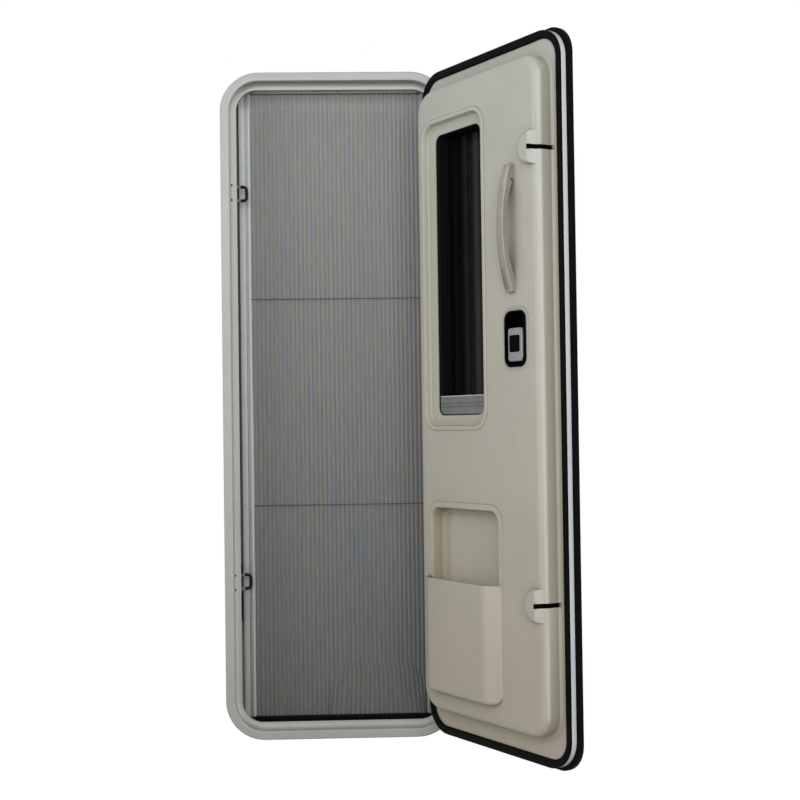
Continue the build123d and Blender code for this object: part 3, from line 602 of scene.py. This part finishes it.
# Node trees for what repeats or follows a path
def build_tree(name, sockets):
    """An empty node tree with named inputs, its input and output nodes"""
    tree = bpy.data.node_groups.new(name, "GeometryNodeTree")
    tree.interface.new_socket("Geometry", in_out="OUTPUT", socket_type="NodeSocketGeometry")
    tree.interface.new_socket("Geometry", in_out="INPUT", socket_type="NodeSocketGeometry")
    for label, kind in sockets.items():
        tree.interface.new_socket(label, in_out="INPUT", socket_type="NodeSocket" + kind)
    return tree, tree.nodes.new("NodeGroupInput"), tree.nodes.new("NodeGroupOutput")


def end_tree(tree, given, result, shape):
    """Ends a tree with its instances made real and its finish set"""
    real = add_node(tree, "GeometryNodeRealizeInstances", {"Geometry": shape})
    shown = add_node(tree, "GeometryNodeSetMaterial", {
        "Geometry": (real, "Geometry"), "Material": (given, "Finish")})
    tree.links.new(shown.outputs["Geometry"], result.inputs["Geometry"])


def run_tree(tree, holder, values):
    """The mesh that a tree gives on one holder object, with its inputs set by name"""
    modifier = holder.modifiers.new(tree.name, "NODES")
    modifier.node_group = tree
    for item in tree.interface.items_tree:
        if item.in_out == "INPUT" and item.name in values:
            modifier[item.identifier] = values[item.name]
    bpy.context.scene.collection.objects.link(holder)
    bpy.context.view_layer.update()
    shaped = holder.evaluated_get(bpy.context.evaluated_depsgraph_get())
    mesh = bpy.data.meshes.new_from_object(shaped)
    bpy.data.objects.remove(holder)
    return mesh


# The crease low on the right: shares of the cloth's width where it begins, leans, drops and ends
CREASE_BEGIN = (0.40, 0.46)
CREASE_LEAN = (0.45, 0.92)
CREASE_DROP = (0.90, 0.96)
CREASE_END = (0.95, 1.0)
# How far the crease and the fold lines stray, and how often from fold to fold
CREASE_SAG = 28 * MM
CREASE_SWAY = 5 * MM
CREASE_SOFT = 5 * MM
FOLD_WANDER = 1.2 * MM
SWAY_PER_FOLD = 0.35
WANDER_PER_FOLD = 2.2


# Pleated cloth, a grid whose columns stand forward and back by turns
def plan_pleats():
    """The tree that folds a grid into upright pleats with one crease"""
    tree, given, result = build_tree("pleat_the_cloth", {
        "Width": "Float", "Height": "Float", "Folds": "Int", "Rows": "Int", "Fold Depth": "Float",
        "Low Share": "Float", "Low Height": "Float", "Crease Height": "Float", "Crease Shift": "Float",
        "Lean": "Float", "Finish": "Material"})
    columns = add_node(tree, "ShaderNodeMath", {"Value": (given, "Folds"), "Value_001": 1.0}, operation="ADD")
    rows = add_node(tree, "ShaderNodeMath", {"Value": (given, "Rows"), "Value_001": 1.0}, operation="ADD")
    grid = add_node(tree, "GeometryNodeMeshGrid", {
        "Size X": 1.0, "Size Y": 1.0, "Vertices X": (columns, "Value"), "Vertices Y": (rows, "Value")})
    spot = add_node(tree, "GeometryNodeInputPosition")
    spot = add_node(tree, "ShaderNodeVectorMath", {"Vector": (spot, "Position"), "Vector_001": (0.5, 0.5, 0)})
    axes = add_node(tree, "ShaderNodeSeparateXYZ", {"Vector": (spot, "Vector")})
    column = add_node(tree, "ShaderNodeMath", {"Value": (axes, "X"), "Value_001": (given, "Folds")},
                      operation="MULTIPLY")
    column = add_node(tree, "ShaderNodeMath", {"Value": (column, "Value")}, operation="ROUND")
    parity = add_node(tree, "ShaderNodeMath", {"Value": (column, "Value"), "Value_001": 2.0},
                      operation="FLOORED_MODULO")
    forward = add_node(tree, "ShaderNodeMath", {
        "Value": (parity, "Value"), "Value_001": (given, "Fold Depth")}, operation="MULTIPLY")
    # The rows lie closer together low down, where the crease is
    lower = add_node(tree, "ShaderNodeMapRange", {
        "Value": (axes, "Y"), "From Max": (given, "Low Share"), "To Max": (given, "Low Height")})
    rest = add_node(tree, "ShaderNodeMath", {"Value": (given, "Height"), "Value_001": (given, "Low Height")},
                    operation="SUBTRACT")
    upper = add_node(tree, "ShaderNodeMapRange", {
        "Value": (axes, "Y"), "From Min": (given, "Low Share"), "To Max": (rest, "Value")})
    height = add_node(tree, "ShaderNodeMath", {"Value": (lower, "Result"), "Value_001": (upper, "Result")},
                      operation="ADD")
    # The crease's own line, which sways from fold to fold and drops at its end
    sag = add_node(tree, "ShaderNodeMapRange", {
        "Value": (axes, "X"), "From Min": CREASE_DROP[0], "From Max": CREASE_DROP[1], "To Max": -CREASE_SAG},
        interpolation_type="SMOOTHSTEP")
    sway = add_node(tree, "ShaderNodeTexNoise", {
        "W": (column, "Value"), "Scale": SWAY_PER_FOLD, "Detail": 1.0}, noise_dimensions="1D")
    sway = add_node(tree, "ShaderNodeMapRange", {
        "Value": (sway, "Fac"), "To Min": -CREASE_SWAY, "To Max": CREASE_SWAY})
    sway = add_node(tree, "ShaderNodeMath", {"Value": (sway, "Result"), "Value_001": (sag, "Result")},
                    operation="ADD")
    crease = add_node(tree, "ShaderNodeMath", {
        "Value": (sway, "Value"), "Value_001": (given, "Crease Height")}, operation="ADD")
    above = add_node(tree, "ShaderNodeMath", {"Value": (height, "Value"), "Value_001": (crease, "Value")},
                     operation="SUBTRACT")
    # Above and below the crease the folds stand apart, and below it they lean
    jog = add_node(tree, "ShaderNodeMapRange", {
        "Value": (above, "Value"), "From Min": -CREASE_SOFT, "From Max": CREASE_SOFT,
        "To Min": 1.0, "To Max": 0.0}, interpolation_type="SMOOTHSTEP")
    lean = add_node(tree, "ShaderNodeMapRange", {
        "Value": (axes, "X"), "From Min": CREASE_LEAN[0], "From Max": CREASE_LEAN[1],
        "To Min": 1.0, "To Max": -1.0})
    depth = add_node(tree, "ShaderNodeMath", {"Value": (above, "Value"), "Value_001": 0.0},
                     operation="MINIMUM")
    lean = add_node(tree, "ShaderNodeMath", {"Value": (lean, "Result"), "Value_001": (depth, "Value")},
                    operation="MULTIPLY")
    lean = add_node(tree, "ShaderNodeMath", {"Value": (lean, "Value"), "Value_001": (given, "Lean")},
                    operation="MULTIPLY")
    aside = add_node(tree, "ShaderNodeMath", {
        "Value": (jog, "Result"), "Value_001": (given, "Crease Shift"), "Value_002": (lean, "Value")},
        operation="MULTIPLY_ADD")
    begin = add_node(tree, "ShaderNodeMapRange", {
        "Value": (axes, "X"), "From Min": CREASE_BEGIN[0], "From Max": CREASE_BEGIN[1]},
        interpolation_type="SMOOTHSTEP")
    end = add_node(tree, "ShaderNodeMapRange", {
        "Value": (axes, "X"), "From Min": CREASE_END[0], "From Max": CREASE_END[1],
        "To Min": 1.0, "To Max": 0.0}, interpolation_type="SMOOTHSTEP")
    span = add_node(tree, "ShaderNodeMath", {"Value": (begin, "Result"), "Value_001": (end, "Result")},
                    operation="MULTIPLY")
    aside = add_node(tree, "ShaderNodeMath", {"Value": (aside, "Value"), "Value_001": (span, "Value")},
                     operation="MULTIPLY")
    # Each fold line wanders a little on its way up
    line = add_node(tree, "ShaderNodeCombineXYZ", {"X": (column, "Value"), "Y": (height, "Value")})
    wander = add_node(tree, "ShaderNodeTexNoise", {
        "Vector": (line, "Vector"), "Scale": WANDER_PER_FOLD, "Detail": 1.0})
    wander = add_node(tree, "ShaderNodeMapRange", {
        "Value": (wander, "Fac"), "To Min": -FOLD_WANDER, "To Max": FOLD_WANDER})
    aside = add_node(tree, "ShaderNodeMath", {"Value": (aside, "Value"), "Value_001": (wander, "Result")},
                     operation="ADD")
    aside = add_node(tree, "ShaderNodeMath", {
        "Value": (axes, "X"), "Value_001": (given, "Width"), "Value_002": (aside, "Value")},
        operation="MULTIPLY_ADD")
    folded = add_node(tree, "ShaderNodeCombineXYZ", {
        "X": (aside, "Value"), "Y": (forward, "Value"), "Z": (height, "Value")})
    moved = add_node(tree, "GeometryNodeSetPosition", {
        "Geometry": (grid, "Mesh"), "Position": (folded, "Vector")})
    end_tree(tree, given, result, (moved, "Geometry"))
    return tree


CLOTH_TUCK = 1 * MM
CLOTH_THICK = 0.4 * MM
CREASE_HEIGHT = 0.171


def hang_cloth():
    """The pleated cloth between its rails"""
    low, high = (Vector(corner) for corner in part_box("pleated_screen"))
    wide, tall = high.x - low.x, high.z - low.z
    folds = round(wide / PLEAT_STEP)
    holder = bpy.data.objects.new("cloth_holder", bpy.data.meshes.new("cloth_holder"))
    mesh = run_tree(plan_pleats(), holder, {
        "Width": wide - 2 * CLOTH_TUCK, "Height": tall - 2 * CLOTH_TUCK, "Folds": folds, "Rows": 170,
        "Fold Depth": -FOLD_DEEP, "Low Share": 0.4, "Low Height": 0.24,
        "Crease Height": CREASE_HEIGHT - ORIGIN_UP - low.z, "Crease Shift": 3.4 * MM, "Lean": 0.09,
        "Finish": FINISHES["screen_cloth"]})
    corner = (low.x + CLOTH_TUCK, (low.y + high.y + FOLD_DEEP) / 2, low.z + CLOTH_TUCK)
    mesh.transform(Matrix.Translation(corner))
    cloth = place_piece("pleated_cloth", mesh, "frame")
    thickness = cloth.modifiers.new("thickness", "SOLIDIFY")
    thickness.thickness = CLOTH_THICK
    thickness.offset = 0
    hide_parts("pleated_screen")


hang_cloth()


# Screws, pan heads with a crossed recess, set on points that carry the way they face
def plan_screws():
    """The tree that sets one screw on each point"""
    tree, given, result = build_tree("set_the_screws", {
        "Head Radius": "Float", "Head Height": "Float", "Recess Width": "Float", "Finish": "Material"})
    ball = add_node(tree, "GeometryNodeMeshUVSphere", {"Segments": 20, "Rings": 10, "Radius": 1.0})
    size = add_node(tree, "ShaderNodeCombineXYZ", {
        "X": (given, "Head Radius"), "Y": (given, "Head Radius"), "Z": (given, "Head Height")})
    head = add_node(tree, "GeometryNodeTransform", {"Geometry": (ball, "Mesh"), "Scale": (size, "Vector")})
    sunk = add_node(tree, "ShaderNodeCombineXYZ", {"Z": (given, "Head Height")})
    both = add_node(tree, "GeometryNodeJoinGeometry")
    for across, along in (("Head Radius", "Recess Width"), ("Recess Width", "Head Radius")):
        bar = add_node(tree, "ShaderNodeCombineXYZ", {
            "X": (given, across), "Y": (given, along), "Z": (given, "Head Height")})
        cube = add_node(tree, "GeometryNodeMeshCube", {"Size": (bar, "Vector")})
        cutter = add_node(tree, "GeometryNodeTransform", {
            "Geometry": (cube, "Mesh"), "Translation": (sunk, "Vector")})
        tree.links.new(cutter.outputs["Geometry"], both.inputs["Geometry"])
    crossed = add_node(tree, "GeometryNodeMeshBoolean", {
        "Mesh 1": (head, "Geometry"), "Mesh 2": (both, "Geometry")}, operation="DIFFERENCE")
    facing = add_node(tree, "GeometryNodeInputNamedAttribute", {"Name": "facing"}, data_type="FLOAT_VECTOR")
    aim = add_node(tree, "FunctionNodeAlignRotationToVector", {"Vector": (facing, "Attribute")}, axis="Z")
    copies = add_node(tree, "GeometryNodeInstanceOnPoints", {
        "Points": (given, "Geometry"), "Instance": (crossed, "Mesh"), "Rotation": (aim, "Rotation")})
    end_tree(tree, given, result, (copies, "Instances"))
    return tree


SCREW_TREE = plan_screws()
SCREW_SHARP = math.radians(35)
RECESS_SHARE = 0.28


def drive_screws(name, body, radius, height, spots):
    """One piece with all the screws of one kind on one body; each spot is a place and the way it faces"""
    points = bpy.data.meshes.new(name + "_points")
    points.from_pydata([place for place, way in spots], [], [])
    ways = points.attributes.new("facing", "FLOAT_VECTOR", "POINT")
    for item, (place, way) in zip(ways.data, spots):
        item.vector = way
    mesh = run_tree(SCREW_TREE, bpy.data.objects.new(name + "_points", points), {
        "Head Radius": radius, "Head Height": height, "Recess Width": RECESS_SHARE * radius,
        "Finish": screw_zinc})
    mesh.shade_smooth()
    mesh.set_sharp_from_angle(angle=SCREW_SHARP)
    place_piece(name, mesh, body)


def in_cove(x, z):
    """A place in the cove of the lock jamb, and the way that the cove faces there"""
    seat = Vector((x, COVE_CENTRE.y + math.sqrt(COVE_RADIUS ** 2 - (x - COVE_CENTRE.x) ** 2), 0))
    return seat + Vector((0, 0, z - ORIGIN_UP)), (COVE_CENTRE - seat).normalized()


# Where the screws sit on the jamb, on the hinges' arms and wings, and the plug in the handle's end
JAMB_SCREWS = ((-0.2828, 1.4986), (-0.2828, 1.4581), (-0.2838, 0.4382), (-0.2838, 0.3995))
ARM_X, ARM_FACE, ARM_RISES = 0.3015, -0.0140, (0.023, -0.023)
WING_XS, WING_FACE = (0.253, 0.228), -0.034
PLUG_AT = (-0.1615, PLATEAU_FACE + 0.006, 1.4190)
drive_screws("jamb_screws", "frame", 3.4 * MM, 1.5 * MM, [
    in_cove(x, z) for x, z in JAMB_SCREWS])
drive_screws("hinge_arm_screws", "frame", 3.6 * MM, 1.8 * MM, [
    (Vector((ARM_X, ARM_FACE, z + rise - ORIGIN_UP)), Vector((0, -1, 0)))
    for z in HINGE_HEIGHTS for rise in ARM_RISES])
drive_screws("hinge_wing_screws", "leaf", 3.6 * MM, 1.8 * MM, [
    (on_leaf(x, WING_FACE, z), -INWARD) for z in HINGE_HEIGHTS for x in WING_XS])
drive_screws("grab_handle_plug", "leaf", 2.9 * MM, 0.9 * MM, [(on_leaf(*PLUG_AT), TO_LOCK)])


# Seams: lines of painted shade along the joints over the window, the storage recess and the lock, run along a
# path of points
def plan_seam():
    """The tree that runs a round bead along a path"""
    tree, given, result = build_tree("run_the_seam", {"Seam Radius": "Float", "Finish": "Material"})
    track = add_node(tree, "GeometryNodeMeshToCurve", {"Mesh": (given, "Geometry")})
    section = add_node(tree, "GeometryNodeCurvePrimitiveCircle", {
        "Radius": (given, "Seam Radius"), "Resolution": 8})
    strand = add_node(tree, "GeometryNodeCurveToMesh", {
        "Curve": (track, "Curve"), "Profile Curve": (section, "Curve"), "Fill Caps": True})
    end_tree(tree, given, result, (strand, "Mesh"))
    return tree


SEAM_TREE = plan_seam()
SEAM_RADIUS = 0.9 * MM
CORNER_STEPS = 12


def run_seam(name, left, right, bottom, top, radius):
    """A line of painted shade along a joint on the leaf's inner face: up one side, over a rounded top and
    down the other side
    """
    spots = [(right, bottom)]
    for middle_x, start in ((right - radius, 0), (left + radius, 90)):
        for step in range(CORNER_STEPS + 1):
            turn = math.radians(start + 90 * step / CORNER_STEPS)
            spots.append((middle_x + radius * math.cos(turn), top - radius + radius * math.sin(turn)))
    spots.append((left, bottom))
    path = bpy.data.meshes.new(name + "_path")
    path.from_pydata([on_leaf(x, PLATEAU_FACE, z) for x, z in spots],
                     [(i, i + 1) for i in range(len(spots) - 1)], [])
    mesh = run_tree(SEAM_TREE, bpy.data.objects.new(name + "_path", path), {
        "Seam Radius": SEAM_RADIUS, "Finish": seam_shade})
    mesh.shade_smooth()
    place_piece(name, mesh, "leaf")


run_seam("window_seam", left=-0.046, right=0.222, bottom=1.570, top=1.628, radius=0.050)
run_seam("storage_seam", left=-0.0975, right=0.210, bottom=0.590, top=0.642, radius=0.045)
run_seam("lock_seam", left=-0.2075, right=-0.1115, bottom=1.081, top=1.116, radius=0.031)

# Slot lips: the black lining of each latch slot, turned out over the bulge at its near end
LIP_OUTLINE = ((-0.2304, 0.0688), (-0.2304, 0.0694), (-0.2345, 0.0690), (-0.2360, 0.0676),
               (-0.2360, 0.0610), (-0.2332, 0.0610), (-0.2332, 0.0676), (-0.2338, 0.0684))
LIP_TALL = 0.011


def line_slot(name, z):
    """One slot's lip, its outline drawn up through the slot's height"""
    mesh = bpy.data.meshes.new(name)
    shell = bmesh.new()
    foot = shell.faces.new([shell.verts.new(on_leaf(x, y, z - LIP_TALL / 2)) for x, y in LIP_OUTLINE])
    grown = bmesh.ops.extrude_face_region(shell, geom=[foot])
    upper = [item for item in grown["geom"] if isinstance(item, bmesh.types.BMVert)]
    bmesh.ops.translate(shell, vec=(0, 0, LIP_TALL), verts=upper)
    bmesh.ops.recalc_face_normals(shell, faces=shell.faces)
    shell.to_mesh(mesh)
    shell.free()
    mesh.materials.append(lock_black)
    round_edges(place_piece(name, mesh, "leaf"), 0.2 * MM, 2)


line_slot("latch_lip_upper", 1.483)
line_slot("latch_lip_lower", 0.416)

# Buffers: two black rubber strips in the gap, above and below the lower striker
BUFFER_AT = (-0.2668, 0.0260)
BUFFER_SECTION = (0.0044, 0.003)


def cut_buffer(name, bottom, top):
    """One rubber strip with rounded ends and edges"""
    mesh = bpy.data.meshes.new(name)
    shell = bmesh.new()
    bmesh.ops.create_cube(shell, size=1.0)
    shell.to_mesh(mesh)
    shell.free()
    middle = Vector((*BUFFER_AT, (bottom + top) / 2 - ORIGIN_UP))
    mesh.transform(Matrix.Translation(middle) @ Matrix.Diagonal((*BUFFER_SECTION, top - bottom, 1)))
    mesh.materials.append(seal_rubber)
    round_edges(place_piece(name, mesh, "frame"), 0.8 * MM, 3)


cut_buffer("jamb_buffer_upper", 0.4405, 0.467)
cut_buffer("jamb_buffer_lower", 0.316, 0.3915)


# Studio: pale floor, soft light from above the camera, white surroundings
def seen_rays(tree):
    """One for rays that look, straight or by metal or glass, and zero for rays that only carry light"""
    rays = add_node(tree, "ShaderNodeLightPath")
    seen = add_node(tree, "ShaderNodeMath", {
        "Value": (rays, "Is Camera Ray"), "Value_001": (rays, "Is Glossy Ray")}, operation="MAXIMUM")
    return add_node(tree, "ShaderNodeMath", {
        "Value": (seen, "Value"), "Value_001": (rays, "Is Transmission Ray")}, operation="MAXIMUM")


FLOOR_REACH = 6.0
FLOOR_GAP = 2 * MM
FLOOR_GLOW = 1.12
GLOW_SHARE = 0.88
SKY_LIGHT = 0.22


def lay_floor():
    """A wide pale floor that keeps the door's shadow"""
    floor_z = cad_box[0][2] - FLOOR_GAP
    mesh = bpy.data.meshes.new("studio_floor")
    mesh.from_pydata([(x * FLOOR_REACH, y * FLOOR_REACH, floor_z)
                      for x, y in ((-1, -1), (1, -1), (1, 1), (-1, 1))], [], [(0, 1, 2, 3)])
    floor = bpy.data.objects.new("studio_floor", mesh)
    bpy.context.scene.collection.objects.link(floor)
    floor_white = bpy.data.materials.new("studio_floor_white")
    floor_white.use_nodes = True
    tree = floor_white.node_tree
    tree.nodes.clear()
    share = add_node(tree, "ShaderNodeMath", {"Value": (seen_rays(tree), "Value"), "Value_001": GLOW_SHARE},
                     operation="MULTIPLY")
    matt = add_node(tree, "ShaderNodeBsdfDiffuse", {"Color": linear("#bcbcbb")})
    glow = add_node(tree, "ShaderNodeEmission", {"Color": linear("#ffffff"), "Strength": FLOOR_GLOW})
    both = add_node(tree, "ShaderNodeMixShader", {
        "Fac": (share, "Value"), "Shader": (matt, "BSDF"), "Shader_001": (glow, "Emission")})
    add_node(tree, "ShaderNodeOutputMaterial", {"Surface": (both, "Shader")})
    mesh.materials.append(floor_white)


def light_sky():
    """White surroundings that throw only a little light"""
    world = bpy.data.worlds.new("studio")
    bpy.context.scene.world = world
    world.use_nodes = True
    tree = world.node_tree
    tree.nodes.clear()
    level = add_node(tree, "ShaderNodeMapRange", {"Value": (seen_rays(tree), "Value"), "To Min": SKY_LIGHT})
    sky = add_node(tree, "ShaderNodeBackground", {"Color": linear("#ffffff"), "Strength": (level, "Result")})
    add_node(tree, "ShaderNodeOutputWorld", {"Surface": (sky, "Background")})


def hang_light(name, place, target, width, watts):
    """A square softbox aimed at a target"""
    light = bpy.data.lights.new(name, "AREA")
    light.size = width
    light.energy = watts
    lamp = bpy.data.objects.new(name, light)
    lamp.location = place
    lamp.rotation_euler = (Vector(target) - Vector(place)).to_track_quat("-Z", "Y").to_euler()
    bpy.context.scene.collection.objects.link(lamp)


lay_floor()
light_sky()
hang_light("front_softbox", (0.1, -3.9, 1.75), (0.1, 0, 1.0), width=3.0, watts=82)
hang_light("left_softbox", (-3.3, -2.2, 1.8), (0.3, -0.1, 1.0), width=1.8, watts=32)

# Camera at the photograph's viewing angle
CAMERA_AT = (0.0651, -3.4792, 0.8255)
YAW, PITCH, ROLL = (math.radians(angle) for angle in (1.687, 1.181, -0.782))
FOCAL_PIXELS = 1285.2
PHOTO_PIXELS = 800
SENSOR_MM = 36.0

ahead = Vector((math.sin(YAW) * math.cos(PITCH), math.cos(YAW) * math.cos(PITCH), math.sin(PITCH)))
level = Vector((math.cos(YAW), -math.sin(YAW), 0))
upright = level.cross(ahead)
side = math.cos(ROLL) * level + math.sin(ROLL) * upright
top = -math.sin(ROLL) * level + math.cos(ROLL) * upright
camera = bpy.data.objects.new("camera", bpy.data.cameras.new("camera"))
camera.data.sensor_width = SENSOR_MM
camera.data.lens = FOCAL_PIXELS * SENSOR_MM / PHOTO_PIXELS
camera.matrix_world = Matrix.Translation(CAMERA_AT) @ Matrix((side, top, -ahead)).transposed().to_4x4()
bpy.context.scene.collection.objects.link(camera)
bpy.context.scene.camera = camera
bpy.context.scene.view_settings.view_transform = "Standard"
